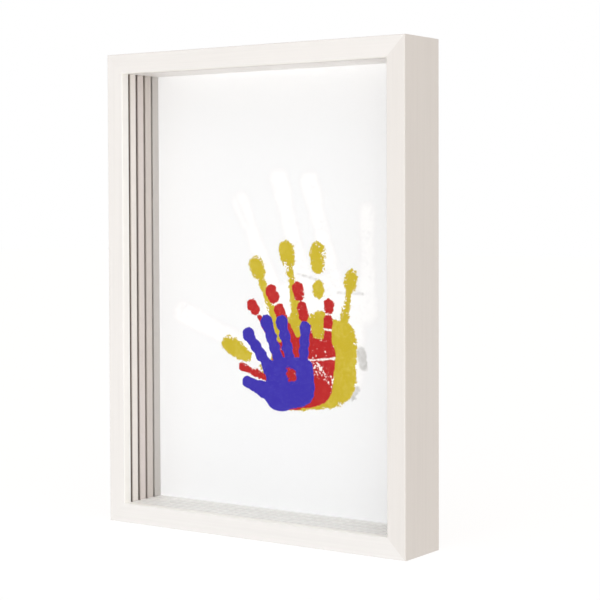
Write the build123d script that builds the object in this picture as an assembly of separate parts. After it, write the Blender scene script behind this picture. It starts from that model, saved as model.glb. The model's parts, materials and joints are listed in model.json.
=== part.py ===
from build123d import *

import os
from dataclasses import dataclass

# Handprint keepsake frame: a deep rebated box frame that holds four clear panes, one behind another,
# each with the handprint of one member of a family. Millimetres, +Z up, the front faces -Y, and the
# origin is under the middle of the frame.

# Moulding
FRAME_WIDTH = 260.0
FRAME_HEIGHT = 350.0
FACE_WIDTH = 14.5
REBATE_WIDTH = 5.0
LIP_THICKNESS = 7.0
ARRIS_RADIUS = 0.8

# Stack behind the lip, from front to back
PANE_THICKNESS = 2.0
SPACER_DEPTH = 6.8
CARD_THICKNESS = 0.3
BOARD_THICKNESS = 2.5
PANE_CLEARANCE = 0.4
SPACER_CLEARANCE = 0.2

# Corner V-nails
V_NAIL_LEG = 3.4
V_NAIL_THICKNESS = 0.4
V_NAIL_LENGTH = 10.0
V_NAIL_OUTER_SETBACK = 1.8
V_NAIL_SPACING = 3.4

# Turn buttons and their pivot screws
BUTTON_WIDTH = 7.2
BUTTON_TIP_WIDTH = 5.8
BUTTON_REACH = 15.0
BUTTON_THICKNESS = 1.0
BUTTON_LIFT = 0.2
BUTTON_END_PLAY = 0.1
RUNNING_CLEARANCE = 0.08
LONG_RAIL_BUTTON_INSET = 88.0
SHORT_RAIL_BUTTON_INSET = 62.0
SCREW_NECK_DIAMETER = 2.8
SCREW_DEPTH = 10.0
SCREW_HEAD_DIAMETER = 5.0
SCREW_HEAD_HEIGHT = 1.7
SCREW_CROWN_DIAMETER = 3.4
RECESS_LENGTH = 2.6
RECESS_WIDTH = 0.8
RECESS_DEPTH = 1.0
PILOT_CLEARANCE = 0.02

# Sawtooth hangers, held by the prongs at their ends
HANGER_LENGTH = 44.0
HANGER_HEIGHT = 8.0
HANGER_THICKNESS = 0.8
HANGER_RAISE = 1.8
HANGER_FOOT = 9.0
HANGER_RAMP = 3.0
TOOTH_COUNT = 7
TOOTH_PITCH = 2.6
TOOTH_DEPTH = 2.0
PRONG_WIDTH = 3.0
PRONG_LENGTH = 7.0

# Prints: length, and the heel of the palm from the middle and the foot of the frame
PAINT_THICKNESS = 0.2
BABY_PRINT_LENGTH = 69.0
BABY_HEEL_X = 27.0
BABY_HEEL_Z = 91.5
TODDLER_PRINT_LENGTH = 95.0
TODDLER_HEEL_X = 36.0
TODDLER_HEEL_Z = 91.0
CHILD_PRINT_LENGTH = 127.0
CHILD_HEEL_X = 32.0
CHILD_HEEL_Z = 88.0
PARENT_PRINT_LENGTH = 182.0
PARENT_HEEL_X = 36.0
PARENT_HEEL_Z = 86.0


@dataclass(frozen=True)
class Hand:
    """One print. It leans to the left, and each finger splays to the right of it, in degrees.

    The shifts set the knuckles, the outer knuckle among them and the outer heel to the right, in shares
    of the hand's length.
    """

    owner: str
    pane: str
    heel_x: float
    heel_z: float
    length: float
    lean: float
    splays: tuple
    breadth_factor: float = 1.0
    thumb_factor: float = 1.0
    little_factor: float = 1.0
    knuckle_shift: float = 0.0
    outer_knuckle_shift: float = 0.0
    heel_shift: float = 0.0


@dataclass(frozen=True)
class Finger:
    """One finger in shares of the hand's length: its root, its length and the breadth of its tip."""

    root_x: float
    root_z: float
    length: float
    breadth: float


@dataclass(frozen=True)
class Mound:
    """One round of the palm in shares of the hand's length: its middle and its radius."""

    x: float
    z: float
    radius: float


# From the front pane to the rear one
BABY = Hand(
    "baby",
    "front",
    BABY_HEEL_X,
    BABY_HEEL_Z,
    BABY_PRINT_LENGTH,
    lean=12.0,
    splays=(-61.0, -26.0, -9.0, -3.0, 16.0),
    breadth_factor=1.4,
    thumb_factor=0.8,
    little_factor=1.2,
    knuckle_shift=0.05,
    heel_shift=0.055,
)
TODDLER = Hand(
    "toddler",
    "second",
    TODDLER_HEEL_X,
    TODDLER_HEEL_Z,
    TODDLER_PRINT_LENGTH,
    lean=12.0,
    splays=(-60.0, -25.0, -16.0, -3.0, 15.0),
    heel_shift=-0.04,
)
CHILD = Hand(
    "child",
    "third",
    CHILD_HEEL_X,
    CHILD_HEEL_Z,
    CHILD_PRINT_LENGTH,
    lean=8.0,
    splays=(-57.0, -15.0, -3.0, 6.0, 19.0),
    knuckle_shift=0.02,
    heel_shift=0.02,
)
PARENT = Hand(
    "parent",
    "rear",
    PARENT_HEEL_X,
    PARENT_HEEL_Z,
    PARENT_PRINT_LENGTH,
    lean=9.0,
    splays=(-60.0, -16.0, -7.0, -7.0, 9.0),
    thumb_factor=1.27,
    outer_knuckle_shift=-0.085,
    heel_shift=-0.08,
)
HANDS = (BABY, TODDLER, CHILD, PARENT)

# Proportions of a hand laid flat with its fingers spread, thumb on the left
THUMB = Finger(root_x=-0.12, root_z=0.21, length=0.49, breadth=0.110)
INDEX = Finger(root_x=-0.12, root_z=0.48, length=0.48, breadth=0.100)
MIDDLE = Finger(root_x=0.02, root_z=0.50, length=0.51, breadth=0.104)
RING = Finger(root_x=0.16, root_z=0.48, length=0.49, breadth=0.100)
LITTLE = Finger(root_x=0.30, root_z=0.42, length=0.38, breadth=0.090)
FINGERS = (THUMB, INDEX, MIDDLE, RING, LITTLE)
INNER_KNUCKLES = (Mound(x=-0.10, z=0.45, radius=0.10), Mound(x=0.09, z=0.46, radius=0.10))
OUTER_KNUCKLE = Mound(x=0.27, z=0.40, radius=0.10)
OUTER_HEEL = Mound(x=0.17, z=0.20, radius=0.17)
THUMB_BALL = Mound(x=-0.07, z=0.19, radius=0.16)
FINGER_ROOT_SHARE = 0.60

# Worked out from the sizes above
WALL_THICKNESS = FACE_WIDTH - REBATE_WIDTH
LAYER_DEPTH = PANE_THICKNESS + SPACER_DEPTH
FRAME_DEPTH = LIP_THICKNESS + len(HANDS) * LAYER_DEPTH + CARD_THICKNESS + BOARD_THICKNESS
SCREW_NECK_LENGTH = BUTTON_LIFT + BUTTON_THICKNESS + BUTTON_END_PLAY
SCREW_PROUD = SCREW_NECK_LENGTH + SCREW_HEAD_HEIGHT
HARDWARE_PROUD = max(SCREW_PROUD, HANGER_RAISE + HANGER_THICKNESS)
FRONT_Y = -(FRAME_DEPTH + HARDWARE_PROUD) / 2
LIP_BACK_Y = FRONT_Y + LIP_THICKNESS
REAR_Y = FRONT_Y + FRAME_DEPTH
RAIL_MIDDLE_Z = WALL_THICKNESS / 2
SHELL_WIDTH = FRAME_WIDTH - 2 * WALL_THICKNESS
SHELL_HEIGHT = FRAME_HEIGHT - 2 * WALL_THICKNESS
OPENING_WIDTH = FRAME_WIDTH - 2 * FACE_WIDTH
SHEET_WIDTH = SHELL_WIDTH - 2 * PANE_CLEARANCE
SHEET_HEIGHT = SHELL_HEIGHT - PANE_CLEARANCE
STRIP_WIDTH = REBATE_WIDTH - SPACER_CLEARANCE

# Each rail is made lying along X with its outer face on Z = 0, then carried to its side of the frame.
SIDES = {
    "bottom": (FRAME_WIDTH, Location()),
    "top": (FRAME_WIDTH, Pos(0, 0, FRAME_HEIGHT) * Rot(0, 180, 0)),
    "left": (FRAME_HEIGHT, Pos(-FRAME_WIDTH / 2, 0, FRAME_HEIGHT / 2) * Rot(0, 90, 0)),
    "right": (FRAME_HEIGHT, Pos(FRAME_WIDTH / 2, 0, FRAME_HEIGHT / 2) * Rot(0, -90, 0)),
}
CORNERS = (
    Pos(-FRAME_WIDTH / 2, 0, 0),
    Pos(-FRAME_WIDTH / 2, 0, FRAME_HEIGHT) * Rot(0, 90, 0),
    Pos(FRAME_WIDTH / 2, 0, FRAME_HEIGHT) * Rot(0, 180, 0),
    Pos(FRAME_WIDTH / 2, 0, 0) * Rot(0, -90, 0),
)
BUTTON_PLACES = {
    "bottom": (SHORT_RAIL_BUTTON_INSET, ("left", "right")),
    "top": (SHORT_RAIL_BUTTON_INSET, ("right", "left")),
    "left": (LONG_RAIL_BUTTON_INSET, ("upper", "lower")),
    "right": (LONG_RAIL_BUTTON_INSET, ("lower", "upper")),
}
HANGERS = {"top": "upright_hanger", "left": "sideways_hanger"}


def slab(sketch, near_y, thickness):
    """A flat piece drawn on the XZ plane, from near_y towards the back."""
    return extrude(Plane.XZ.offset(-near_y) * sketch, amount=-thickness)


def turned(*outline):
    """A round piece turned about Y from points of (radius, distance behind the rail's back face)."""
    section = make_face(Polyline(*outline, close=True))
    return Pos(0, REAR_Y, RAIL_MIDDLE_Z) * revolve(section, Axis.Y)


def rail(length):
    """L-shaped moulding with eased arrises, cut to 45 degree mitres."""
    section = make_face(
        Polyline(
            (FRONT_Y, 0),
            (FRONT_Y, FACE_WIDTH),
            (LIP_BACK_Y, FACE_WIDTH),
            (LIP_BACK_Y, WALL_THICKNESS),
            (REAR_Y, WALL_THICKNESS),
            (REAR_Y, 0),
            close=True,
        )
    )
    front_edges = section.vertices().group_by(Axis.X)[0]
    outer_rear_edge = section.vertices().group_by(Axis.X)[-1].sort_by(Axis.Y)[:1]
    section = fillet(front_edges + outer_rear_edge, ARRIS_RADIUS)
    bar = extrude(Plane.YZ * section, amount=length / 2, both=True)
    below, above = -FACE_WIDTH, 2 * FACE_WIDTH
    mitres = make_face(
        Polyline(
            (-length / 2 + below, below),
            (length / 2 - below, below),
            (length / 2 - above, above),
            (-length / 2 + above, above),
            close=True,
        )
    )
    return bar & slab(mitres, FRONT_Y - ARRIS_RADIUS, FRAME_DEPTH + 2 * ARRIS_RADIUS)


def v_nail(setback):
    """Angled fastener across a mitre, at the back of the corner on the origin."""
    inner = setback + V_NAIL_THICKNESS
    end = setback + V_NAIL_LEG
    shape = make_face(
        Polyline(
            (setback, setback),
            (end, setback),
            (end, inner),
            (inner, inner),
            (inner, end),
            (setback, end),
            close=True,
        )
    )
    return slab(shape, REAR_Y - V_NAIL_LENGTH, V_NAIL_LENGTH)


def sheet(near_y, thickness):
    """Pane, card or board that fills the rebate, standing on its floor."""
    outline = Pos(0, WALL_THICKNESS + SHEET_HEIGHT / 2) * Rectangle(SHEET_WIDTH, SHEET_HEIGHT)
    return slab(outline, near_y, thickness)


def spacer_strip(side, near_y):
    """One strip of a layer: the side strips run the full height, the others fit between them."""
    if side in ("left", "right"):
        reach = (OPENING_WIDTH + STRIP_WIDTH) / 2
        place = Pos(-reach if side == "left" else reach, WALL_THICKNESS + SHEET_HEIGHT / 2)
        outline = place * Rectangle(STRIP_WIDTH, SHEET_HEIGHT)
    else:
        height = REBATE_WIDTH if side == "bottom" else STRIP_WIDTH
        middle = FACE_WIDTH - height / 2 if side == "bottom" else FRAME_HEIGHT - FACE_WIDTH + height / 2
        outline = Pos(0, middle) * Rectangle(OPENING_WIDTH - 2 * SPACER_CLEARANCE, height)
    return slab(outline, near_y, SPACER_DEPTH)


def finger_outline(hand, finger, splay):
    """Finger that widens from its root to its round tip."""
    tip = hand.breadth_factor * finger.breadth * hand.length / 2
    length = finger.length * hand.length
    if finger is THUMB:
        length *= hand.thumb_factor
    if finger is LITTLE:
        length *= hand.little_factor
    ends = Circle(FINGER_ROOT_SHARE * tip) + Pos(0, length - tip) * Circle(tip)
    root = Pos(finger.root_x * hand.length, finger.root_z * hand.length)
    return root * Rot(0, 0, -splay) * make_hull(ends.edges())


def mound_outline(mound, shift, size):
    """Round of the palm, set to the right by a share of the hand's length."""
    return Pos((mound.x + shift) * size, mound.z * size) * Circle(mound.radius * size)


def palm_outline(hand):
    """Palm drawn round the knuckles, the outer heel and the ball of the thumb."""
    rounds = [mound_outline(mound, hand.knuckle_shift, hand.length) for mound in INNER_KNUCKLES]
    outer_shift = hand.knuckle_shift + hand.outer_knuckle_shift
    rounds.append(mound_outline(OUTER_KNUCKLE, outer_shift, hand.length))
    rounds.append(mound_outline(OUTER_HEEL, hand.heel_shift, hand.length))
    rounds.append(mound_outline(THUMB_BALL, 0.0, hand.length))
    return make_hull([edge for mound in rounds for edge in mound.edges()])


def handprint(hand, near_y):
    """Paint film of a right hand, thumb on the left, leaning to the left about the heel of its palm."""
    outline = palm_outline(hand)
    for finger, splay in zip(FINGERS, hand.splays):
        outline += finger_outline(hand, finger, splay)
    return slab(Pos(hand.heel_x, hand.heel_z) * Rot(0, 0, hand.lean) * outline, near_y, PAINT_THICKNESS)


def turn_button():
    """Flat swivel plate: its pivot end on the rail, its narrower tip over the back board."""
    ends = Circle(BUTTON_WIDTH / 2) + Pos(0, BUTTON_REACH) * Circle(BUTTON_TIP_WIDTH / 2)
    plate = make_hull(ends.edges()) - Circle(SCREW_NECK_DIAMETER / 2 + RUNNING_CLEARANCE)
    return slab(Pos(0, RAIL_MIDDLE_Z) * plate, REAR_Y + BUTTON_LIFT, BUTTON_THICKNESS)


def pivot_screw():
    """Screw with a cross recess: the button turns on its neck, under its head."""
    neck = SCREW_NECK_DIAMETER / 2
    body = turned(
        (0, -SCREW_DEPTH),
        (neck, -SCREW_DEPTH),
        (neck, SCREW_NECK_LENGTH),
        (SCREW_HEAD_DIAMETER / 2, SCREW_NECK_LENGTH),
        (SCREW_CROWN_DIAMETER / 2, SCREW_PROUD),
        (0, SCREW_PROUD),
    )
    cross = Rectangle(RECESS_LENGTH, RECESS_WIDTH) + Rectangle(RECESS_WIDTH, RECESS_LENGTH)
    return body - slab(Pos(0, RAIL_MIDDLE_Z) * cross, REAR_Y + SCREW_PROUD - RECESS_DEPTH, RECESS_DEPTH)


def pilot_hole():
    """Hole for a pivot screw in the back of a rail."""
    radius = SCREW_NECK_DIAMETER / 2 + PILOT_CLEARANCE
    depth = SCREW_DEPTH + PILOT_CLEARANCE
    return turned((0, -depth), (radius, -depth), (radius, 0), (0, 0))


def hanger():
    """Strip with flat feet, a raised middle with teeth on its inner edge, and a prong at each end."""
    end = HANGER_LENGTH / 2
    bend = end - HANGER_FOOT
    crest = bend - HANGER_RAMP
    under = ((-end, 0), (-bend, 0), (-crest, HANGER_RAISE), (crest, HANGER_RAISE), (bend, 0), (end, 0))
    over = [(x, y + HANGER_THICKNESS) for x, y in reversed(under)]
    strip = extrude(make_face(Polyline(*under, *over, close=True)), amount=HANGER_HEIGHT)
    teeth = Sketch()
    for number in range(TOOTH_COUNT):
        left = (number - TOOTH_COUNT / 2) * TOOTH_PITCH
        root = (left + TOOTH_PITCH / 2, HANGER_HEIGHT - TOOTH_DEPTH)
        right = (left + TOOTH_PITCH, HANGER_HEIGHT)
        teeth += make_face(Polyline((left, HANGER_HEIGHT), root, right, close=True))
    strip -= slab(teeth, 0, HANGER_RAISE + HANGER_THICKNESS)
    return Pos(0, REAR_Y, RAIL_MIDDLE_Z - HANGER_HEIGHT / 2) * strip + hanger_prongs()


def hanger_prongs():
    """Pointed prongs, driven into the rail, at both ends of a hanger."""
    half = PRONG_WIDTH / 2
    spike = make_face(Polyline((0, -half), (-PRONG_LENGTH, 0), (0, half), close=True))
    inset = HANGER_LENGTH / 2 - HANGER_THICKNESS
    prong = extrude(Plane.YZ * spike, amount=HANGER_THICKNESS)
    left = Pos(-HANGER_LENGTH / 2, REAR_Y, RAIL_MIDDLE_Z) * prong
    right = Pos(inset, REAR_Y, RAIL_MIDDLE_Z) * prong
    return [left, right]


def button_stations(side):
    """Places of a side's buttons along its rail, with their names."""
    inset, names = BUTTON_PLACES[side]
    station = SIDES[side][0] / 2 - inset
    return zip((-station, station), names)


def build():
    """All the pieces in place, by name."""
    pieces = {}
    setbacks = (V_NAIL_OUTER_SETBACK, V_NAIL_OUTER_SETBACK + V_NAIL_SPACING)
    v_nails = [corner * v_nail(setback) for corner in CORNERS for setback in setbacks]
    screws = []
    for side, (length, place) in SIDES.items():
        cuts = []
        for station, name in button_stations(side):
            spot = place * Pos(station, 0, 0)
            pieces[f"turn_button_{side}_{name}"] = spot * turn_button()
            screws.append(spot * pivot_screw())
            cuts.append(spot * pilot_hole())
        if side in HANGERS:
            pieces[HANGERS[side]] = place * hanger()
            cuts += [place * prong for prong in hanger_prongs()]
        pieces[f"{side}_rail"] = place * rail(length) - cuts - v_nails
    pieces["corner_v_nails"] = Compound(v_nails)
    pieces["pivot_screws"] = Compound(screws)

    layer_y = LIP_BACK_Y
    for hand in HANDS:
        spacer_y = layer_y + PANE_THICKNESS
        pieces[f"{hand.pane}_pane"] = sheet(layer_y, PANE_THICKNESS)
        pieces[f"{hand.owner}_handprint"] = handprint(hand, spacer_y)
        for side in SIDES:
            pieces[f"{hand.pane}_spacer_{side}"] = spacer_strip(side, spacer_y)
        layer_y += LAYER_DEPTH
    pieces["backing_card"] = sheet(layer_y, CARD_THICKNESS)
    pieces["back_board"] = sheet(layer_y + CARD_THICKNESS, BOARD_THICKNESS)
    return pieces


if __name__ == "__main__":
    os.makedirs("parts", exist_ok=True)
    for name, piece in build().items():
        export_step(piece, f"parts/{name}.step")
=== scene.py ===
import json
import logging
import math
from collections.abc import Iterable
from dataclasses import dataclass, field
from enum import Enum

import bmesh
import bpy
import numpy as np
from mathutils import Matrix, Vector, geometry, noise

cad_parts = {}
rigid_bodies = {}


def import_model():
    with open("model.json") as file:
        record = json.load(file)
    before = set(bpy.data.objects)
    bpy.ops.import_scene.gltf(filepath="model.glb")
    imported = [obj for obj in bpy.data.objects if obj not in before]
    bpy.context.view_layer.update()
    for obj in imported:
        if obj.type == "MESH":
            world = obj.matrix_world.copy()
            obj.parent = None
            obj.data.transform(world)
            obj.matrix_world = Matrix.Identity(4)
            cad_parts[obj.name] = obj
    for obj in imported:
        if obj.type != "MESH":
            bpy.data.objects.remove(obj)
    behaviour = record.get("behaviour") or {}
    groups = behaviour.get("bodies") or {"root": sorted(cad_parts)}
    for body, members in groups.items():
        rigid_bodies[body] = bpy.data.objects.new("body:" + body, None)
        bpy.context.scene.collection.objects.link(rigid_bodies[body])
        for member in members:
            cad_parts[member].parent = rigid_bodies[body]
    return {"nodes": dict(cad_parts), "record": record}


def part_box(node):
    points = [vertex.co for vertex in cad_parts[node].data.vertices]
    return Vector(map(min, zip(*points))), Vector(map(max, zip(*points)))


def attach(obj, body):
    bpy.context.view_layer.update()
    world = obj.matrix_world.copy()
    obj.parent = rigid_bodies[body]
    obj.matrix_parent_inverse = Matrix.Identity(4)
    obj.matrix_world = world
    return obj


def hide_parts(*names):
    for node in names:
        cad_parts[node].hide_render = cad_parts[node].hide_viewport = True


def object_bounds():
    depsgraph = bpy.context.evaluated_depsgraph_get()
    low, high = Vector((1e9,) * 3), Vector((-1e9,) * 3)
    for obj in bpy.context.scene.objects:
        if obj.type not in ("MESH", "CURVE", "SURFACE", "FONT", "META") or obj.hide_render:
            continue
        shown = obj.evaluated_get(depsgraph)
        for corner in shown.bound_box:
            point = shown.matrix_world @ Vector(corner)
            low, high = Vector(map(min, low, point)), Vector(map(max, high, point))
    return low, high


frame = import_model()

# Looks of the handprint keepsake frame: a white box frame with four clear panes, each with a painted print.
# Metres, +Z up, the front faces -Y.

log = logging.getLogger("handprint_frame")

MM = 0.001
CAD_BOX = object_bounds()
FRAME_BODY = "frame"

Colour = tuple[float, float, float, float]
Place = tuple[float, float, float]
Span = tuple[float, float]


def srgb(red: int, green: int, blue: int) -> Colour:
    """Works out the scene colour of a screen colour.

    Args:
        red: Level from 0 to 255.
        green: Level from 0 to 255.
        blue: Level from 0 to 255.

    Returns:
        The linear colour with full opacity.
    """
    shares = [level / 255 for level in (red, green, blue)]
    low, high = 12.92, 1.055
    linear = [s / low if s <= 0.04045 else ((s + high - 1) / high) ** 2.4 for s in shares]
    return linear[0], linear[1], linear[2], 1.0


def streaked(colour: Colour, share: float) -> Colour:
    """Gives the darker tone of a colour along the grain."""
    return colour[0] * share, colour[1] * share, colour[2] * share, 1.0


class Signal:
    """An output of a shader node; arithmetic on it adds Math nodes to its shader."""

    def __init__(self, shader: "Shader", socket: bpy.types.NodeSocket) -> None:
        """Wraps one socket of a shader."""
        self.shader = shader
        self.socket = socket

    def math(self, operation: str, *operands: "Signal | float") -> "Signal":
        """Adds one Math node.

        Args:
            operation: The node's operation.
            operands: Its values or links, in order.

        Returns:
            The node's result.
        """
        return self.shader.add("ShaderNodeMath", {"operation": operation}, dict(enumerate(operands)))

    def __add__(self, other: "Signal | float") -> "Signal":
        """Adds a value."""
        return self.math("ADD", self, other)

    __radd__ = __add__

    def __sub__(self, other: "Signal | float") -> "Signal":
        """Takes a value away."""
        return self.math("SUBTRACT", self, other)

    def __rsub__(self, other: "Signal | float") -> "Signal":
        """Takes this away from a value."""
        return self.math("SUBTRACT", other, self)

    def __mul__(self, other: "Signal | float") -> "Signal":
        """Multiplies by a value."""
        return self.math("MULTIPLY", self, other)

    __rmul__ = __mul__

    def __abs__(self) -> "Signal":
        """Drops the sign."""
        return self.math("ABSOLUTE", self)

    def least(self, other: "Signal | float") -> "Signal":
        """Takes the smaller of two values."""
        return self.math("MINIMUM", self, other)

    def greatest(self, other: "Signal | float") -> "Signal":
        """Takes the larger of two values."""
        return self.math("MAXIMUM", self, other)

    def above(self, level: float) -> "Signal":
        """Gives 1 above a level and 0 below it."""
        return self.math("GREATER_THAN", self, level)

    def rise(self, low: float, high: float) -> "Signal":
        """Eases from 0 to 1.

        Args:
            low: Where the result leaves 0.
            high: Where the result reaches 1.

        Returns:
            The eased value.
        """
        inputs = {"Value": self, "From Min": low, "From Max": high}
        return self.shader.add("ShaderNodeMapRange", {"interpolation_type": "SMOOTHSTEP"}, inputs)


class Shader:
    """A node tree under construction."""

    def __init__(self, tree: bpy.types.NodeTree) -> None:
        """Empties a node tree and takes it over."""
        self.tree = tree
        self.tree.nodes.clear()

    def add(
        self,
        kind: str,
        settings: dict[str, object] | None = None,
        inputs: dict[str | int, "Signal | float | Iterable[float]"] | None = None,
        output: str | int = 0,
    ) -> Signal:
        """Adds one node.

        Args:
            kind: The node's type.
            settings: The node's own settings, set first.
            inputs: Values or links by socket.
            output: The socket to hand back.

        Returns:
            The chosen output of the node.
        """
        node = self.tree.nodes.new(kind)
        for name, value in (settings or {}).items():
            setattr(node, name, value)
        for name, value in (inputs or {}).items():
            if isinstance(value, Signal):
                self.tree.links.new(value.socket, node.inputs[name])
            else:
                node.inputs[name].default_value = value
        return Signal(self, node.outputs[output])

    def object_place(self) -> Signal:
        """Gives the place on the object, in metres."""
        return self.add("ShaderNodeTexCoord", output="Object")

    def attribute(self, name: str) -> Signal:
        """Gives a value that the mesh brings."""
        return self.add("ShaderNodeAttribute", {"attribute_name": name}, output="Fac")

    def axes(self, place: str = "Object") -> tuple[Signal, Signal, Signal]:
        """Splits a kind of place into its axes.

        Args:
            place: The output of the Texture Coordinate node.

        Returns:
            X, Y and Z.
        """
        coordinates = self.add("ShaderNodeTexCoord", output=place)
        node = self.add("ShaderNodeSeparateXYZ", inputs={0: coordinates}).socket.node
        return tuple(Signal(self, output) for output in node.outputs)

    def grit(
        self,
        per_metre: float | Place,
        detail: float = 2.0,
        roughness: float = 0.5,
        shift: Place = (0.0, 0.0, 0.0),
        distortion: float = 0.0,
    ) -> Signal:
        """Adds a noise on the object.

        Args:
            per_metre: Cells per metre, the same all round or along each axis.
            detail: Octaves.
            roughness: Weight of the finer octaves.
            shift: Where the pattern starts.
            distortion: How far the pattern is stirred.

        Returns:
            The noise, about 0.5 on the whole.
        """
        scale = per_metre if isinstance(per_metre, tuple) else (per_metre,) * 3
        mapping = {"Vector": self.object_place(), "Scale": scale, "Location": shift}
        inputs = {
            "Vector": self.add("ShaderNodeMapping", inputs=mapping),
            "Scale": 1.0,
            "Detail": detail,
            "Roughness": roughness,
            "Distortion": distortion,
        }
        return self.add("ShaderNodeTexNoise", inputs=inputs)

    def mixed(self, share: Signal, first: "Signal | Colour", second: "Signal | Colour") -> Signal:
        """Mixes two colours.

        Args:
            share: How much of the second colour shows.
            first: The colour at 0.
            second: The colour at 1.

        Returns:
            The mixed colour.
        """
        factor, first_colour, second_colour, colour_result = 0, 6, 7, 2
        inputs = {factor: share, first_colour: first, second_colour: second}
        return self.add("ShaderNodeMix", {"data_type": "RGBA"}, inputs, colour_result)

    def relief(self, height: Signal, depth: float) -> Signal:
        """Turns a height into a bumped normal.

        Args:
            height: Height from 0 to 1.
            depth: The real height of that range in metres.

        Returns:
            The normal.
        """
        return self.add("ShaderNodeBump", inputs={"Height": height, "Distance": depth, "Strength": 1.0})

    def finish(self, surface: Signal, kind: str = "ShaderNodeOutputMaterial") -> None:
        """Ends the tree with this surface."""
        self.tree.links.new(surface.socket, self.tree.nodes.new(kind).inputs["Surface"])

    def principled(self, **inputs: "Signal | float | Colour") -> Signal:
        """Adds a Principled surface; a socket's name has _ for its spaces."""
        named = {name.replace("_", " "): value for name, value in inputs.items()}
        return self.add("ShaderNodeBsdfPrincipled", inputs=named)


class Grain(Enum):
    """Direction of the wood's grain."""

    ACROSS = "along X"
    UPRIGHT = "along Z"


@dataclass(frozen=True)
class Finish:
    """A surface finish that makes its own material."""

    name: str

    def dress(self, shader: Shader) -> Signal:
        """Adds the finish's nodes and gives its surface."""
        raise NotImplementedError

    def material(self) -> bpy.types.Material:
        """Makes the material, or finds it where it is made already.

        Returns:
            The material.
        """
        title = f"{self.name}_finish"
        known = bpy.data.materials.get(title)
        if known:
            return known
        made = bpy.data.materials.new(title)
        made.use_nodes = True
        shader = Shader(made.node_tree)
        shader.finish(self.dress(shader))
        return made


@dataclass(frozen=True)
class PaintedWood(Finish):
    """Satin paint on wood whose grain shows faintly along the piece. Patterns are in cells per metre."""

    grain: Grain
    start: float
    colour: Colour
    streak: Colour
    rubbed: Colour = srgb(220, 212, 203)
    # Painted highlight: the lip's inner edge is painted whiter than the rail, in place of light falling
    # there.
    lip_highlight_colour: Colour = srgb(250, 247, 242)
    face_width: float = 14.5 * MM
    lip_highlight_blur: Span = (0.1 * MM, 0.3 * MM)
    arris: float = 1.1 * MM
    grain_along: float = 7.0
    grain_across: float = 420.0
    broad: float = 14.0
    broad_share: float = 0.25
    streak_range: Span = (0.42, 0.72)
    peel: float = 1100.0
    peel_share: float = 0.3
    chip_range: Span = (0.52, 0.66)
    chip_share: float = 0.5
    roughness: float = 0.36
    streak_roughness: float = 0.16
    chip_roughness: float = 0.1
    relief_depth: float = 0.03 * MM

    def dress(self, shader: Shader) -> Signal:
        """Adds streaks along the grain, a faint peel and rubbed outer arrises.

        Args:
            shader: The material's nodes.

        Returns:
            The surface.
        """
        along, across = self.grain_along, self.grain_across
        scale = (along, across, across) if self.grain is Grain.ACROSS else (across, across, along)
        shift = (self.start, self.start, self.start)
        streaks = shader.grit(scale, detail=5.0, roughness=0.62, shift=shift)
        broad = shader.grit(self.broad, detail=1.0, shift=shift)
        peel = shader.grit(self.peel, detail=2.0)
        tone = ((1 - self.broad_share) * streaks + self.broad_share * broad).rise(*self.streak_range)
        worn = self.wear(shader) * peel.rise(*self.chip_range) * self.chip_share
        paint = shader.mixed(worn, shader.mixed(tone, self.colour, self.streak), self.rubbed)
        # Painted highlight on the lip's inner edge: whiter paint is mixed in along it.
        paint = shader.mixed(self.painted_lip_highlight(shader), paint, self.lip_highlight_colour)
        height = (1 - self.peel_share) * streaks + self.peel_share * peel
        return shader.principled(
            Base_Color=self.covered(shader, paint, streaks),
            Roughness=self.roughness + self.streak_roughness * streaks + self.chip_roughness * worn,
            Normal=shader.relief(height, self.relief_depth),
        )

    def covered(self, shader: Shader, paint: Signal, streaks: Signal) -> Signal:
        """Gives the colour where the paint covers the whole piece."""
        return paint

    def painted_lip_highlight(self, shader: Shader) -> Signal:
        """Finds the inner edge of the lip, which frames the panes and is painted whiter as a painted
        highlight.

        Args:
            shader: The material's nodes.

        Returns:
            1 on that edge and 0 elsewhere.
        """
        x, _, z = shader.axes()
        low, high = CAD_BOX
        middle = (low.z + high.z) / 2
        half_width, half_height = high.x - self.face_width, high.z - middle - self.face_width
        beyond = (abs(x) - half_width).greatest(abs(z - middle) - half_height)
        return 1 - beyond.rise(*self.lip_highlight_blur)

    def wear(self, shader: Shader) -> Signal:
        """Finds the outer front arris, where paint rubs off.

        Args:
            shader: The material's nodes.

        Returns:
            1 along the arris, falling to 0 beside it.
        """
        x, y, z = shader.axes()
        low, high = CAD_BOX
        if self.grain is Grain.ACROSS:
            outer = (z - low.z).least(high.z - z)
        else:
            outer = high.x - abs(x)
        return 1 - outer.greatest(y - low.y).rise(0.0, self.arris)


@dataclass(frozen=True, kw_only=True)
class PaintedStrip(PaintedWood):
    """Strip with paint on its sides, and bare fibre board on the faces against the panes.

    The bare board is kept dark as a painted shade for the slots between the strips. The paint is thin
    beside the bare faces, which softens that painted shade, and the cover share is how much of them the
    paint covers.
    """

    # Painted shade for the slots between strips: dark bare board on the faces against the panes, faded in
    # beside them.
    slot_shade_cover: float
    middle_y: float
    half_depth: float
    bare_board_shade: Colour = srgb(128, 110, 93)
    bare_board_shade_dark: Colour = srgb(101, 84, 70)
    slot_shade_fringe: float = 1.1 * MM
    slot_shade_fringe_share: float = 0.6

    def covered(self, shader: Shader, paint: Signal, streaks: Signal) -> Signal:
        """Shows the bare board, kept dark as a painted shade for the slots, where the mesh marks it, and
        through the thin paint beside it.

        Args:
            shader: The material's nodes.
            paint: The paint's colour.
            streaks: The board's streaks.

        Returns:
            The colour.
        """
        # Dark bare board where marked and beside it: a painted shade in the slots.
        marked = shader.attribute("bare_board_shade")
        board = shader.mixed(streaks, self.bare_board_shade, self.bare_board_shade_dark)
        _, y, _ = shader.axes()
        beside = abs(y - self.middle_y).rise(self.half_depth - self.slot_shade_fringe, self.half_depth)
        shown = marked.greatest(beside * self.slot_shade_fringe_share) * (1 - self.slot_shade_cover)
        return shader.mixed(shown, paint, board)


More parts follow.
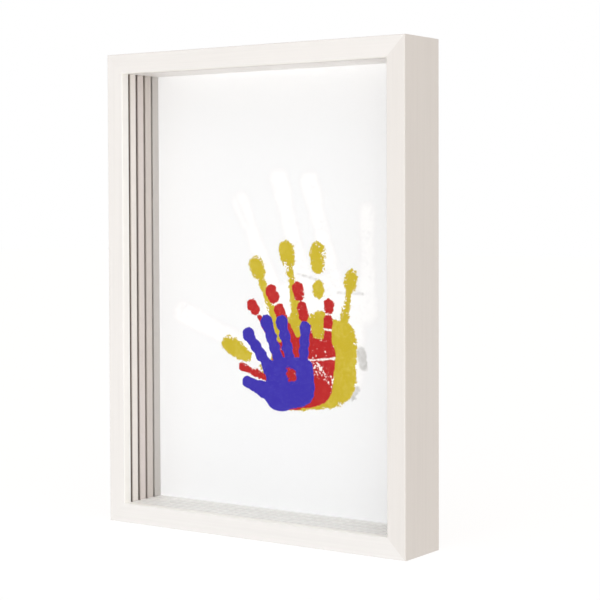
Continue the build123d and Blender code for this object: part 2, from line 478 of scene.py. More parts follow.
@dataclass(frozen=True)
class ClearAcrylic(Finish):
    """Clear sheet with a low reflection."""

    tint: Colour = (0.999, 0.999, 0.999, 1.0)
    index: float = 1.05
    smear: float = 30.0
    roughness: float = 0.02
    smear_roughness: float = 0.05

    def dress(self, shader: Shader) -> Signal:
        """Lets light through and keeps a faint gloss that grows at a slant.

        Args:
            shader: The material's nodes.

        Returns:
            The surface.
        """
        roughness = self.roughness + self.smear_roughness * shader.grit(self.smear, detail=3.0)
        clear = shader.add("ShaderNodeBsdfTransparent", inputs={"Color": self.tint})
        gloss = shader.add("ShaderNodeBsdfGlossy", inputs={"Roughness": roughness})
        slant = shader.add("ShaderNodeFresnel", inputs={"IOR": self.index})
        return shader.add("ShaderNodeMixShader", inputs={0: slant, 1: clear, 2: gloss})


@dataclass(frozen=True)
class WhiteCard(Finish):
    """Smooth white card with a faint fibre."""

    colour: Colour = srgb(248, 249, 250)
    shade: Colour = srgb(245, 246, 247)
    fibre: Place = (500.0, 500.0, 900.0)
    shade_range: Span = (0.35, 0.7)
    roughness: float = 0.75
    fibre_roughness: float = 0.15
    relief_depth: float = 0.01 * MM

    def dress(self, shader: Shader) -> Signal:
        """Adds a fine fibre to the tone and the surface."""
        fibre = shader.grit(self.fibre, detail=4.0, roughness=0.6)
        return shader.principled(
            Base_Color=shader.mixed(fibre.rise(*self.shade_range), self.colour, self.shade),
            Roughness=self.roughness + self.fibre_roughness * fibre,
            Normal=shader.relief(fibre, self.relief_depth),
        )


@dataclass(frozen=True)
class Hardboard(Finish):
    """Pressed brown fibre board with flecks."""

    colour: Colour = srgb(150, 112, 78)
    dark: Colour = srgb(124, 90, 60)
    fleck: Colour = srgb(190, 156, 116)
    cloud: float = 18.0
    cloud_share: float = 0.25
    fibre: Place = (260.0, 260.0, 700.0)
    tone_range: Span = (0.3, 0.66)
    flecks: float = 850.0
    fleck_range: Span = (0.62, 0.70)
    fleck_share: float = 0.55
    roughness: float = 0.62
    fibre_roughness: float = 0.2
    relief_depth: float = 0.05 * MM

    def dress(self, shader: Shader) -> Signal:
        """Adds clouded tone, matted fibres and pale flecks.

        Args:
            shader: The material's nodes.

        Returns:
            The surface.
        """
        cloud = shader.grit(self.cloud, detail=3.0)
        fibre = shader.grit(self.fibre, detail=5.0, roughness=0.65, distortion=1.5)
        flecks = shader.grit(self.flecks, detail=2.0, distortion=2.0).rise(*self.fleck_range)
        tone = (self.cloud_share * cloud + (1 - self.cloud_share) * fibre).rise(*self.tone_range)
        ground = shader.mixed(tone, self.dark, self.colour)
        return shader.principled(
            Base_Color=shader.mixed(self.fleck_share * flecks, ground, self.fleck),
            Roughness=self.roughness + self.fibre_roughness * fibre,
            Normal=shader.relief(fibre, self.relief_depth),
        )


@dataclass(frozen=True)
class ZincSteel(Finish):
    """Pressed steel with a bright zinc plating."""

    colour: Colour = srgb(214, 215, 216)
    dull: Colour = srgb(176, 178, 182)
    cloud: float = 160.0
    dull_range: Span = (0.35, 0.7)
    scratch: Place = (900.0, 900.0, 60.0)
    roughness: float = 0.2
    cloud_roughness: float = 0.18
    scratch_roughness: float = 0.1
    relief_depth: float = 0.004 * MM

    def dress(self, shader: Shader) -> Signal:
        """Adds clouded plating and fine scratches.

        Args:
            shader: The material's nodes.

        Returns:
            The surface.
        """
        cloud = shader.grit(self.cloud, detail=3.0, roughness=0.6)
        scratch = shader.grit(self.scratch, detail=3.0)
        return shader.principled(
            Base_Color=shader.mixed(cloud.rise(*self.dull_range), self.colour, self.dull),
            Metallic=1.0,
            Roughness=self.roughness + self.cloud_roughness * cloud + self.scratch_roughness * scratch,
            Normal=shader.relief(scratch, self.relief_depth),
        )


@dataclass(frozen=True)
class PrintPaint(Finish):
    """Craft paint pressed on to a pane: it thins out at its edges, and dries in specks.

    Widths are in millimetres, patterns in cells per metre. The mesh brings its distance from the
    print's edge as depth.
    """

    colour: Colour
    thin: Colour
    smudge: Colour = srgb(200, 200, 200)
    underlay: Colour | None = None
    thinning: float = 0.6
    ragged: float = 0.3
    reach: float = 1.0
    gap_tear: float = 1.0
    rim: float = 2.0
    rim_dryness: float = 0.05
    patch_dryness: float = 0.12
    speck_level: float = 0.70
    speck_blur: float = 0.03
    shift: Place = (0.0, 0.0, 0.0)
    fine: float = 1500.0
    speck: float = 700.0
    grain: float = 380.0
    patch: float = 75.0
    film_range: Span = (0.3, 0.55)
    smudge_range: Span = (0.65, 1.9)
    roughness: float = 0.5
    grain_roughness: float = 0.25
    specular: float = 0.1
    relief_depth: float = 0.02 * MM

    def dress(self, shader: Shader) -> Signal:
        """Adds the ragged edge, the dry specks, the smudges and the uneven film.

        Args:
            shader: The material's nodes.

        Returns:
            The surface.
        """
        depth, gap, dry, dirt = (shader.attribute(name) for name in ("depth", "gap", "dry", "smudge"))
        fine = shader.grit(self.fine, detail=3.0, roughness=0.6, shift=self.shift)
        speck = shader.grit(self.speck, detail=2.0, roughness=0.6, shift=self.shift)
        grain = shader.grit(self.grain, detail=3.0, shift=self.shift)
        patch = shader.grit(self.patch, detail=3.0, shift=self.shift)
        tear = ((fine + grain - 1) * (2 * self.ragged)).least(self.reach)
        edge = (depth + tear).above(0.0)
        rim = 1 - depth.rise(0.0, self.rim)
        dryness = (patch + speck) * 0.5 + self.rim_dryness * rim + self.patch_dryness * dry
        specks = dryness.rise(self.speck_level, self.speck_level + self.speck_blur)
        torn_gap = (gap + self.gap_tear * tear).rise(-self.thinning / 2, self.thinning / 2)
        missing = specks.greatest(torn_gap)
        film = ((patch + grain) * 0.5).rise(*self.film_range)
        body = shader.mixed(film.least((depth + tear).rise(0.0, self.thinning)), self.thin, self.colour)
        body = shader.mixed((dirt + grain).rise(*self.smudge_range), body, self.smudge)
        if self.underlay:
            body = shader.mixed(missing, body, self.underlay)
        return shader.principled(
            Base_Color=body,
            Roughness=self.roughness + self.grain_roughness * grain,
            Specular_IOR_Level=self.specular,
            Alpha=edge if self.underlay else (edge - missing).above(0.5),
            Normal=shader.relief(grain, self.relief_depth),
        )


def slot_of(node: str) -> str:
    """Looks up the record's material slot of a CAD node."""
    rows = frame["record"]["subparts"]
    return next(row["material_slot"] for row in rows if row["node"] == node)


def adopt(mesh: bpy.types.Mesh, node: str, finish: Finish, body: str = FRAME_BODY) -> bpy.types.Object:
    """Makes a mesh a piece of the object, in the place of a CAD node.

    Args:
        mesh: The finished mesh, in place.
        node: The CAD node that it stands for.
        finish: Its finish.
        body: The CAD body that it rides on.

    Returns:
        The piece.
    """
    mesh.materials.clear()
    mesh.materials.append(finish.material())
    piece = bpy.data.objects.new(f"{node}_finished", mesh)
    bpy.context.scene.collection.objects.link(piece)
    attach(piece, body)
    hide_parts(node)
    slot_of(node)
    return piece


def eased_mesh(node: str, width: float, segments: int = 2) -> bpy.types.Mesh:
    """Copies a CAD node with its sharp edges rounded over.

    Args:
        node: The CAD node.
        width: Width of the rounding.
        segments: Faces across the rounding.

    Returns:
        The new mesh.
    """
    sharp_angle, merge_distance = math.radians(35), 1e-3 * MM
    mesh = frame["nodes"][node].data.copy()
    shape = bmesh.new()
    shape.from_mesh(mesh)
    bmesh.ops.remove_doubles(shape, verts=shape.verts, dist=merge_distance)
    sharp = [edge for edge in shape.edges if edge.is_manifold and edge.calc_face_angle() > sharp_angle]
    bmesh.ops.bevel(
        shape,
        geom=sharp,
        offset=width,
        affect="EDGES",
        segments=segments,
        profile=0.5,
        material=-1,
        clamp_overlap=True,
    )
    for face in shape.faces:
        face.smooth = True
    shape.to_mesh(mesh)
    shape.free()
    mesh.set_sharp_from_angle(angle=sharp_angle)
    return mesh


def eased(node: str, finish: Finish, width: float, body: str = FRAME_BODY) -> bpy.types.Object:
    """Builds a CAD node again with its sharp edges rounded over.

    Args:
        node: The CAD node.
        finish: Its finish.
        width: Width of the rounding.
        body: The CAD body that it rides on.

    Returns:
        The piece, shaded so that its flat faces stay flat.
    """
    piece = adopt(eased_mesh(node, width), node, finish, body)
    shading = piece.modifiers.new("flat faces", "WEIGHTED_NORMAL")
    shading.weight = 100
    shading.keep_sharp = True
    return piece


@dataclass
class Moulding:
    """The four mitred rails, with a hairline at each mitre."""

    hairline: float = 0.12 * MM
    paint: Colour = srgb(234, 231, 228)
    # Painted shade: the right rail is painted a little darker than the other three.
    right_shaded_paint: Colour = srgb(227, 223, 219)
    streak_share: float = 0.96
    grain_step: float = 0.37
    sides: dict[str, Grain] = field(
        default_factory=lambda: {
            "top": Grain.ACROSS,
            "bottom": Grain.ACROSS,
            "left": Grain.UPRIGHT,
            "right": Grain.UPRIGHT,
        }
    )

    def build(self) -> list[bpy.types.Object]:
        """Builds the rails and paints them.

        Returns:
            The rails.
        """
        rails = []
        for number, (side, grain) in enumerate(self.sides.items()):
            node = f"{side}_rail"
            # The right rail takes the darker paint, a painted shade.
            colour = self.right_shaded_paint if side == "right" else self.paint
            streak = streaked(colour, self.streak_share)
            finish = PaintedWood(node, grain, self.grain_step * number, colour, streak)
            rails.append(eased(node, finish, self.hairline))
        return rails


@dataclass
class Stack:
    """What the rebate holds: panes, spacer strips, card and board.

    Tones and slot covers run from the front layer to the rear one; the side strips' tones darken towards
    the rear as painted shade, and the slot covers set how much painted shade shows in the slots between
    strips.
    """

    layers: tuple[str, ...] = ("front", "second", "third", "rear")
    # Painted shade: the side strips' paint gets darker layer by layer towards the rear.
    upright_shaded_tones: tuple[Colour, ...] = (
        srgb(249, 242, 235),
        srgb(231, 221, 215),
        srgb(221, 212, 205),
        srgb(206, 201, 196),
    )
    top_tone: Colour = srgb(251, 248, 245)
    bottom_tone: Colour = srgb(255, 253, 250)
    # Painted shade in the slots: how much of each layer's dark slot faces the paint covers, front to rear.
    upright_slot_shade_cover: tuple[float, ...] = (0.12, 0.38, 0.62, 1.0)
    top_slot_shade_cover: tuple[float, ...] = (0.2, 0.8, 0.85, 0.85)
    bottom_slot_shade_cover: tuple[float, ...] = (0.95, 1.0, 1.0, 1.0)
    streak_share: float = 0.97
    first_grain: float = 0.61
    grain_step: float = 0.29
    squarely: float = 0.95
    strip_ease: float = 0.25 * MM
    pane_ease: float = 0.15 * MM
    card_ease: float = 0.05 * MM
    board_ease: float = 0.4 * MM

    def build(self) -> list[bpy.types.Object]:
        """Builds the stack from front to back.

        Returns:
            The pieces.
        """
        pieces = []
        acrylic = ClearAcrylic("clear_acrylic")
        for number, layer in enumerate(self.layers):
            pieces.append(eased(f"{layer}_pane", acrylic, self.pane_ease))
            pieces += self.strips(layer, number)
        pieces.append(eased("backing_card", WhiteCard("white_card"), self.card_ease))
        pieces.append(eased("back_board", Hardboard("hardboard"), self.board_ease))
        return pieces

    def strips(self, layer: str, number: int) -> list[bpy.types.Object]:
        """Builds one layer's four spacer strips.

        Args:
            layer: The layer's name.
            number: Its place from the front.

        Returns:
            The strips, with their bare faces marked.
        """
        made = []
        # Per layer: how much painted shade shows in the slots, and for the side strips a tone that darkens
        # towards the rear as painted shade.
        slot_shade_covers = {"top": self.top_slot_shade_cover, "bottom": self.bottom_slot_shade_cover}
        tones = {"top": self.top_tone, "bottom": self.bottom_tone}
        for side, grain in Moulding().sides.items():
            node = f"{layer}_spacer_{side}"
            low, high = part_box(node)
            tone = tones.get(side, self.upright_shaded_tones[number])
            paint = PaintedStrip(
                node,
                grain,
                start=self.first_grain + self.grain_step * number,
                colour=tone,
                streak=streaked(tone, self.streak_share),
                # The strips keep their own tone along the lip's edge, so they get no painted highlight.
                lip_highlight_colour=tone,
                slot_shade_cover=slot_shade_covers.get(side, self.upright_slot_shade_cover)[number],
                middle_y=(low.y + high.y) / 2,
                half_depth=(high.y - low.y) / 2,
            )
            strip = eased(node, paint, self.strip_ease)
            # Faces that meet the panes squarely are marked for the dark bare board, a painted shade in the
            # slots.
            bare_board_shade = strip.data.attributes.new("bare_board_shade", "FLOAT", "FACE")
            for polygon in strip.data.polygons:
                bare_board_shade.data[polygon.index].value = float(abs(polygon.normal.y) > self.squarely)
            made.append(strip)
        return made


@dataclass
class Hardware:
    """Turn buttons, pivot screws, hangers and corner nails at the back."""

    plate_ease: float = 0.22 * MM
    head_ease: float = 0.3 * MM

    def build(self) -> list[bpy.types.Object]:
        """Builds the plated pieces. Each turn button is its own body.

        Returns:
            The pieces.
        """
        plating = ZincSteel("zinc_steel")
        hangers = ["upright_hanger", "sideways_hanger"]
        buttons = [body for body in frame["record"]["behaviour"]["bodies"] if body != FRAME_BODY]
        pieces = [eased(node, plating, self.plate_ease) for node in hangers]
        pieces += [eased(node, plating, self.plate_ease, node) for node in buttons]
        pieces.append(eased("pivot_screws", plating, self.head_ease))
        nails = frame["nodes"]["corner_v_nails"]
        nails.data.materials.clear()
        nails.data.materials.append(plating.material())
        return [*pieces, nails]


@dataclass(frozen=True)
class Bead:
    """A disc of a finger's print: its place along it and its half breadth, in shares of the finger."""

    along: float
    half_breadth: float


class Touch(Enum):
    """How much of a finger met the pane, as chains of joined discs."""

    FULL = (
        (
            Bead(0.0, 0.5),
            Bead(0.22, 0.39),
            Bead(0.34, 0.49),
            Bead(0.46, 0.38),
            Bead(0.57, 0.48),
            Bead(0.70, 0.39),
            Bead(0.88, 0.54),
        ),
    )
    SOFT = (
        (
            Bead(0.0, 0.5),
            Bead(0.3, 0.46),
            Bead(0.55, 0.42),
            Bead(0.68, 0.42),
            Bead(0.80, 0.5),
            Bead(0.9, 0.5),
        ),
    )
    JOINTED = (
        (Bead(0.06, 0.42), Bead(0.285, 0.42)),
        (Bead(0.455, 0.42), Bead(0.59, 0.43)),
        (Bead(0.79, 0.47), Bead(0.89, 0.50)),
    )
    BROKEN = (
        (Bead(0.05, 0.35), Bead(0.35, 0.22), Bead(0.50, 0.28)),
        (Bead(0.60, 0.20), Bead(0.65, 0.20)),
        (Bead(0.79, 0.40), Bead(0.89, 0.46)),
    )
    PARTED = ((Bead(0.40, 0.38), Bead(0.46, 0.38)), (Bead(0.70, 0.46), Bead(0.86, 0.52)))
    LIGHT = (
        (
            Bead(0.0, 0.24),
            Bead(0.3, 0.32),
            Bead(0.5, 0.2),
            Bead(0.66, 0.24),
            Bead(0.75, 0.46),
            Bead(0.86, 0.5),
        ),
    )
    PAD = ((Bead(0.60, 0.30), Bead(0.72, 0.46), Bead(0.89, 0.46)), (Bead(0.0, 0.4), Bead(0.28, 0.46)))
    STREAK = ((Bead(0.0, 0.2), Bead(0.4, 0.2), Bead(0.6, 0.3), Bead(0.7, 0.22), Bead(0.88, 0.3)),)
    WEDGE = ((Bead(-0.3, 0.9), Bead(0.1, 0.7), Bead(0.5, 0.48), Bead(0.75, 0.40), Bead(0.9, 0.40)),)


@dataclass(frozen=True)
class Disc:
    """A disc of the print, in shares of the hand's length."""

    x: float
    z: float
    radius: float

    def shifted(self, x: float) -> "Disc":
        """Gives the disc set to the right."""
        return Disc(self.x + x, self.z, self.radius)


@dataclass(frozen=True)
class Finger:
    """A finger's root, length and breadth, in shares of the hand's length."""

    root_x: float
    root_z: float
    length: float
    breadth: float


THUMB = Finger(root_x=-0.12, root_z=0.21, length=0.49, breadth=0.110)
INDEX = Finger(root_x=-0.12, root_z=0.48, length=0.48, breadth=0.100)
MIDDLE = Finger(root_x=0.02, root_z=0.50, length=0.51, breadth=0.104)
RING = Finger(root_x=0.16, root_z=0.48, length=0.49, breadth=0.100)
LITTLE = Finger(root_x=0.30, root_z=0.42, length=0.38, breadth=0.090)
FINGERS = (THUMB, INDEX, MIDDLE, RING, LITTLE)
INNER_KNUCKLES = (Disc(-0.10, 0.45, 0.10), Disc(0.09, 0.46, 0.10))
OUTER_KNUCKLE = Disc(0.27, 0.40, 0.10)
OUTER_HEEL = Disc(0.17, 0.20, 0.17)
THUMB_BALL = Disc(-0.07, 0.19, 0.16)
KNUCKLE_BACK = -0.5
KNUCKLE_RADIUS = 0.6


def chain_depth(places: np.ndarray, discs: list[Disc]) -> np.ndarray:
    """Works out how far inside a chain of joined discs each place lies.

    Args:
        places: Points, one row each.
        discs: The chain from end to end.

    Returns:
        The distance from the chain's edge, below 0 outside it.
    """
    depth = np.full(len(places), -np.inf)
    for first, last in zip(discs, discs[1:]):
        start = np.array((first.x, first.z))
        run = np.array((last.x, last.z)) - start
        share = np.clip((places - start) @ run / (run @ run), 0, 1)
        reach = np.linalg.norm(places - start - share[:, None] * run, axis=1)
        depth = np.maximum(depth, first.radius + share * (last.radius - first.radius) - reach)
    return depth


def hull_depth(places: np.ndarray, discs: list[Disc]) -> np.ndarray:
    """Works out how far inside the outline drawn round some discs each place lies.

    Args:
        places: Points, one row each.
        discs: The discs.

    Returns:
        The distance from the outline, below 0 outside it.
    """
    steps = 48
    turns = [math.tau * step / steps for step in range(steps)]
    rim = [(d.x + d.radius * math.cos(a), d.z + d.radius * math.sin(a)) for d in discs for a in turns]
    corners = np.array([rim[index] for index in geometry.convex_hull_2d(rim)])
    depth = np.full(len(places), np.inf)
    middle = corners.mean(axis=0)
    for start, end in zip(corners, np.roll(corners, -1, axis=0)):
        inward = np.array((start[1] - end[1], end[0] - start[0])) / np.linalg.norm(end - start)
        inward *= np.sign(inward @ (middle - start))
        depth = np.minimum(depth, (places - start) @ inward)
    return depth


@dataclass
class Handprint:
    """One print on the back of its pane. Lengths and places are in millimetres, angles in degrees."""

    owner: str
    paint: PrintPaint
    heel_x: float
    heel_z: float
    length: float
    lean: float
    splays: tuple[float, ...]
    touches: tuple[Touch, ...]
    breadth_factor: float = 1.0
    thumb_factor: float = 1.0
    little_factor: float = 1.0
    knuckle_shift: float = 0.0
    outer_knuckle_shift: float = 0.0
    heel_shift: float = 0.0
    gaps: tuple[tuple[Disc, Disc], ...] = ()
    smudges: tuple[tuple[Disc, Disc], ...] = ()
    dry_patches: tuple[tuple[Disc, Disc], ...] = ()
    knuckle: float = 0.0
    cell: float = 0.6
    web: float = 0.5
    wander: float = 0.5
    wander_size: float = 4.0
    smear: float = 4.0
    margin: float = 1.2
    lift: float = 0.03

    def fingers(self) -> list[list[Disc]]:
        """Lists the fingers' printed chains.

        Returns:
            The chains, with one at each knuckle that joins its finger to the palm.
        """
        chains = []
        factors = {THUMB: self.thumb_factor, LITTLE: self.little_factor}
        for finger, splay, touch in zip(FINGERS, self.splays, self.touches):
            length = finger.length * factors.get(finger, 1.0)
            breadth = finger.breadth * self.breadth_factor
            turn = math.radians(splay)
            ahead = np.array((math.sin(turn), math.cos(turn)))
            root = np.array((finger.root_x, finger.root_z))
            for chain in touch.value:
                spots = [root + bead.along * length * ahead for bead in chain]
                radii = [bead.half_breadth * breadth for bead in chain]
                chains.append([Disc(*spot, radius) for spot, radius in zip(spots, radii)])
            if finger is not THUMB:
                ends = (root + share * breadth * ahead for share in (KNUCKLE_BACK, self.knuckle))
                chains.append([Disc(*end, KNUCKLE_RADIUS * breadth) for end in ends])
        return chains

    def palm(self) -> list[Disc]:
        """Lists the discs that the palm is drawn round.

        Returns:
            The discs.
        """
        knuckles = [disc.shifted(self.knuckle_shift) for disc in INNER_KNUCKLES]
        knuckles.append(OUTER_KNUCKLE.shifted(self.knuckle_shift + self.outer_knuckle_shift))
        return [*knuckles, OUTER_HEEL.shifted(self.heel_shift), THUMB_BALL]

    def depths(self, places: np.ndarray) -> np.ndarray:
        """Works out how far inside the print each place on the pane lies.

        Args:
            places: Points on the pane in millimetres, one row each.

        Returns:
            The distance from the print's wandering edge in millimetres, below 0 outside it.
        """
        shares = self.shares(places)
        web = self.web / self.length
        bumps = [hull_depth(shares, self.palm()), *(chain_depth(shares, chain) for chain in self.fingers())]
        depth = web * np.logaddexp.reduce(np.array(bumps) / web, axis=0)
        seed, fractal = self.length, (0.6, 2.1, 4)
        drift = [noise.fractal(Vector((x, seed, z)) / self.wander_size, *fractal) for x, z in places]
        return depth * self.length + self.wander * np.array(drift)

    def marked(self, places: np.ndarray, chains: tuple[tuple[Disc, Disc], ...]) -> np.ndarray:
        """Works out how far inside some chains of discs each place on the pane lies.

        Args:
            places: Points on the pane in millimetres, one row each.
            chains: The chains.

        Returns:
            The distance from the nearest chain's edge in millimetres, below 0 outside it.
        """
        shares = self.shares(places)
        depths = [np.full(len(places), -1.0), *(chain_depth(shares, list(chain)) for chain in chains)]
        return np.max(depths, axis=0) * self.length

    def shares(self, places: np.ndarray) -> np.ndarray:
        """Turns points on the pane into shares of the hand's length.

        Args:
            places: Points on the pane in millimetres, one row each.

        Returns:
            The points seen from the heel, with the hand upright.
        """
        lean = math.radians(self.lean)
        turn = np.array(((math.cos(lean), -math.sin(lean)), (math.sin(lean), math.cos(lean))))
        return (places - np.array((self.heel_x, self.heel_z))) @ turn / self.length

    def sheet(self) -> bpy.types.Mesh:
        """Cuts the film out of a fine grid that lies behind the pane.

        Returns:
            The closed film.
        """
        low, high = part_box(f"{self.owner}_handprint")
        middle, half = (low + high) / 2, (high - low) / 2 + Vector((1, 0, 1)) * (self.margin * MM)
        shape = bmesh.new()
        lay = Matrix.Translation((middle.x, low.y + self.lift * MM, middle.z))
        lay @= Matrix.Rotation(math.radians(90), 4, "X") @ Matrix.Diagonal((half.x, half.z, 1.0, 1.0))
        columns, rows = (round(2 * size / (self.cell * MM)) for size in (half.x, half.z))
        bmesh.ops.create_grid(shape, x_segments=columns, y_segments=rows, size=1.0, matrix=lay)
        places = np.array([(vertex.co.x, vertex.co.z) for vertex in shape.verts]) / MM
        inside = self.depths(places) > -self.margin
        shape.verts.index_update()
        outside = [face for face in shape.faces if not any(inside[vertex.index] for vertex in face.verts)]
        bmesh.ops.delete(shape, geom=outside, context="FACES")
        front = shape.faces[:]
        back = bmesh.ops.extrude_face_region(shape, geom=front, use_keep_orig=True)["geom"]
        moved = [item for item in back if isinstance(item, bmesh.types.BMVert)]
        bmesh.ops.translate(shape, verts=moved, vec=(0.0, high.y - low.y - self.lift * MM, 0.0))
        bmesh.ops.recalc_face_normals(shape, faces=shape.faces)
        mesh = bpy.data.meshes.new(f"{self.owner}_film")
        shape.to_mesh(mesh)
        shape.free()
        return mesh

    def build(self) -> bpy.types.Object:
        """Builds the film of paint and marks its depth, gaps, smudges and dry patches.

        Returns:
            The film.
        """
        mesh = self.sheet()
        places = np.array([(vertex.co.x, vertex.co.z) for vertex in mesh.vertices]) / MM
        marks = {
            "depth": self.depths(places),
            "gap": self.marked(places, self.gaps),
            "smudge": np.clip(self.marked(places, self.smudges) / self.smear, 0, 1),
            "dry": np.clip(self.marked(places, self.dry_patches) / self.smear, 0, 1),
        }
        for name, values in marks.items():
            mesh.attributes.new(name, "FLOAT", "POINT").data.foreach_set("value", values.astype(np.float32))
        film = adopt(mesh, f"{self.owner}_handprint", self.paint)
        film.visible_shadow = False
        film.visible_diffuse = False
        return film


def handprints() -> list[Handprint]:
    """Lists the four prints.

    Returns:
        The prints from the front pane to the rear one.
    """
    full, jointed, light = Touch.FULL, Touch.JOINTED, Touch.LIGHT
    blue = PrintPaint(
        "blue",
        srgb(63, 53, 171),
        srgb(71, 63, 177),
        ragged=0.9,
        gap_tear=1.6,
        patch_dryness=0.19,
        speck_level=0.72,
    )
    red = PrintPaint(
        "red",
        srgb(187, 42, 42),
        srgb(194, 56, 52),
        underlay=srgb(250, 244, 240),
        ragged=1.3,
        rim_dryness=0.06,
        speck_level=0.64,
        shift=(3.0, 1.0, 2.0),
    )
    yellow = PrintPaint(
        "yellow",
        srgb(202, 180, 50),
        srgb(211, 192, 74),
        ragged=2.0,
        rim=4.5,
        rim_dryness=0.09,
        speck_level=0.63,
        shift=(5.0, 2.0, 7.0),
    )
    white = PrintPaint(
        "white",
        colour=srgb(255, 255, 255),
        thin=srgb(246, 246, 247),
        smudge=srgb(197, 196, 194),
        underlay=srgb(246, 246, 247),
        thinning=5.5,
        ragged=2.0,
        speck_level=0.95,
        shift=(9.0, 4.0, 1.0),
    )
    return [
        Handprint(
            "baby",
            blue,
            heel_x=27.0,
            heel_z=91.5,
            length=69.0,
            lean=12.0,
            splays=(-61.0, -26.0, -9.0, -3.0, 16.0),
            knuckle_shift=0.05,
            heel_shift=0.055,
            touches=(Touch.WEDGE, full, full, full, full),
            breadth_factor=1.4,
            thumb_factor=0.8,
            little_factor=1.2,
            gaps=(
                (Disc(0.10, 0.380, 0.030), Disc(0.15, 0.375, 0.055)),
                (Disc(0.15, 0.375, 0.055), Disc(0.165, 0.335, 0.040)),
            ),
            dry_patches=((Disc(0.14, 0.37, 0.12), Disc(0.17, 0.36, 0.12)),),
            cell=0.5,
            web=0.25,
            wander=0.35,
        ),
        Handprint(
            "toddler",
            red,
            heel_x=36.0,
            heel_z=91.0,
            length=95.0,
            lean=12.0,
            splays=(-60.0, -25.0, -16.0, -3.0, 15.0),
            heel_shift=-0.04,
            touches=(Touch.STREAK, Touch.BROKEN, jointed, jointed, jointed),
            gaps=(
                (Disc(0.12, 0.375, 0.006), Disc(0.40, 0.345, 0.009)),
                (Disc(-0.125, 0.824, 0.005), Disc(-0.029, 0.852, 0.006)),
                (Disc(0.321, 0.690, 0.006), Disc(0.417, 0.664, 0.005)),
                (Disc(0.291, 0.580, 0.006), Disc(0.388, 0.554, 0.005)),
            ),
            dry_patches=((Disc(0.20, 0.30, 0.08), Disc(0.27, 0.22, 0.07)),),
            cell=0.55,
        ),
        Handprint(
            "child",
            yellow,
            heel_x=32.0,
            heel_z=88.0,
            length=127.0,
            lean=8.0,
            splays=(-57.0, -15.0, -3.0, 6.0, 19.0),
            knuckle_shift=0.02,
            heel_shift=0.02,
            touches=(Touch.PAD, light, light, Touch.PARTED, light),
            knuckle=0.3,
            cell=0.7,
            wander=0.9,
        ),
        Handprint(
            "parent",
            white,
            heel_x=36.0,
            heel_z=86.0,
            length=182.0,
            lean=9.0,
            splays=(-60.0, -16.0, -7.0, -7.0, 9.0),
            outer_knuckle_shift=-0.085,
            heel_shift=-0.08,
            touches=(Touch.SOFT,) * 5,
            thumb_factor=1.27,
            gaps=((Disc(-0.264, 0.929, 0.004), Disc(-0.213, 0.787, 0.006)),),
            smudges=(
                (Disc(0.245, 0.18, 0.030), Disc(0.24, 0.23, 0.030)),
                (Disc(0.175, 0.055, 0.02), Disc(0.20, 0.09, 0.02)),
                (Disc(-0.008, 0.57, 0.012), Disc(0.105, 0.524, 0.012)),
                (Disc(0.17, 0.47, 0.012), Disc(0.284, 0.451, 0.012)),
            ),
            cell=1.1,
            wander=1.2,
            wander_size=9.0,
            smear=2.5,
        ),
    ]


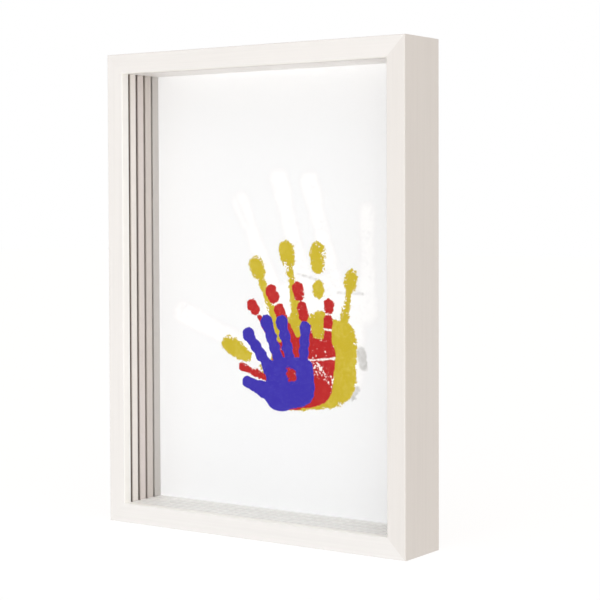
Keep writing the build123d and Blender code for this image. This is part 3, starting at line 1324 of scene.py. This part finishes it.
@dataclass
class Studio:
    """White floor and surroundings, soft light, and the camera. Image places are in pixels."""

    image_side: float = 600.0
    image_middle_x: float = 304.58
    image_middle_y: float = 257.93
    focal_length: float = 1647.94
    camera_place: Place = (0.6954, -0.9579, 0.2364)
    yaw: float = 34.68
    pitch: float = -1.79
    roll: float = -0.18
    near: float = 0.05
    see_through: int = 32
    front_glow: float = 0.43
    front_slope: float = 0.69
    front_steepness: float = 0.82
    back_glow: Colour = (0.60, 0.49, 0.39, 1.0)
    front_to_back: Span = (-0.3, 0.3)
    floor_colour: Colour = srgb(250, 250, 250)
    floor_side: float = 12.0
    floor_shadow: float = 0.16
    floor_glow: float = 1.07
    floor_bounce: float = 0.38
    key_place: Place = (0.15, -1.6, 0.18)
    key_side: float = 0.45
    key_power: float = 10.1

    def build(self) -> None:
        """Builds the floor, the light and the camera."""
        scene = bpy.context.scene
        scene.view_settings.view_transform = "Standard"
        scene.cycles.transparent_max_bounces = self.see_through
        self.floor()
        self.world(scene)
        self.key(scene)
        self.camera(scene)

    def seen(self, shader: Shader) -> Signal:
        """Finds the rays that show the surroundings.

        Args:
            shader: The nodes of the floor or the world.

        Returns:
            1 for a ray from the camera, a reflection or a see-through piece.
        """
        paths = ("Is Camera Ray", "Is Glossy Ray", "Is Transmission Ray")
        camera, glossy, through = (shader.add("ShaderNodeLightPath", output=path) for path in paths)
        return camera.greatest(glossy).greatest(through)

    def floor(self) -> None:
        """Builds the floor: white to the eye, with the object's shadow."""
        shape = bmesh.new()
        bmesh.ops.create_grid(shape, x_segments=1, y_segments=1, size=self.floor_side / 2)
        mesh = bpy.data.meshes.new("floor")
        shape.to_mesh(mesh)
        shape.free()
        material = bpy.data.materials.new("white_floor")
        material.use_nodes = True
        shader = Shader(material.node_tree)
        matte = shader.add("ShaderNodeBsdfDiffuse", inputs={"Color": self.floor_colour})
        glow = shader.add("ShaderNodeEmission", inputs={"Strength": self.floor_glow})
        share = self.floor_bounce + self.seen(shader) * (1 - self.floor_shadow - self.floor_bounce)
        shader.finish(shader.add("ShaderNodeMixShader", inputs={0: share, 1: matte, 2: glow}))
        mesh.materials.append(material)
        ground = bpy.data.objects.new("floor", mesh)
        bpy.context.scene.collection.objects.link(ground)

    def world(self, scene: bpy.types.Scene) -> None:
        """Builds the surroundings: white to the eye, and brightest at the front right to the object.

        Args:
            scene: The scene that they light.
        """
        scene.world = bpy.data.worlds.new("surroundings")
        scene.world.use_nodes = True
        shader = Shader(scene.world.node_tree)
        white = (1.0, 1.0, 1.0, 1.0)
        x, y, z = shader.axes("Generated")
        level = self.front_glow + self.front_slope * x + self.front_steepness * (z * z)
        front = shader.add("ShaderNodeCombineColor", inputs={0: level, 1: level, 2: level})
        glow = shader.mixed(y.rise(*self.front_to_back), front, self.back_glow)
        colour = shader.mixed(self.seen(shader), glow, white)
        shader.finish(shader.add("ShaderNodeBackground", inputs={"Color": colour}), "ShaderNodeOutputWorld")

    def key(self, scene: bpy.types.Scene) -> None:
        """Builds the soft key light at the front.

        Args:
            scene: The scene that it lights.
        """
        lamp = bpy.data.lights.new("key", "AREA")
        lamp.size = self.key_side
        lamp.energy = self.key_power
        key = bpy.data.objects.new("key", lamp)
        aim = (CAD_BOX[0] + CAD_BOX[1]) / 2 - Vector(self.key_place)
        turn = aim.to_track_quat("-Z", "Y").to_matrix().to_4x4()
        key.matrix_world = Matrix.Translation(self.key_place) @ turn
        scene.collection.objects.link(key)

    def camera(self, scene: bpy.types.Scene) -> None:
        """Builds the camera at the photograph's angle.

        Args:
            scene: The scene that it looks at.
        """
        lens = bpy.data.cameras.new("camera")
        lens.lens = self.focal_length * lens.sensor_width / self.image_side
        lens.shift_x = 0.5 - self.image_middle_x / self.image_side
        lens.shift_y = self.image_middle_y / self.image_side - 0.5
        lens.clip_start = self.near
        eye = bpy.data.objects.new("camera", lens)
        turn = Matrix.Rotation(math.radians(self.yaw), 4, "Z")
        turn @= Matrix.Rotation(math.radians(90 + self.pitch), 4, "X")
        turn @= Matrix.Rotation(math.radians(self.roll), 4, "Z")
        eye.matrix_world = Matrix.Translation(self.camera_place) @ turn
        scene.collection.objects.link(eye)
        scene.camera = eye


def main() -> None:
    """Builds the object, then the studio, and reports each piece."""
    logging.basicConfig(level=logging.INFO, format="%(name)s: %(message)s")
    for part in (Moulding(), Stack(), Hardware()):
        for piece in part.build():
            log.info("%s with %d faces", piece.name, len(piece.data.polygons))
    for handprint in handprints():
        film = handprint.build()
        log.info("%s with %d faces", film.name, len(film.data.polygons))
    Studio().build()


if __name__ == "__main__":
    main()
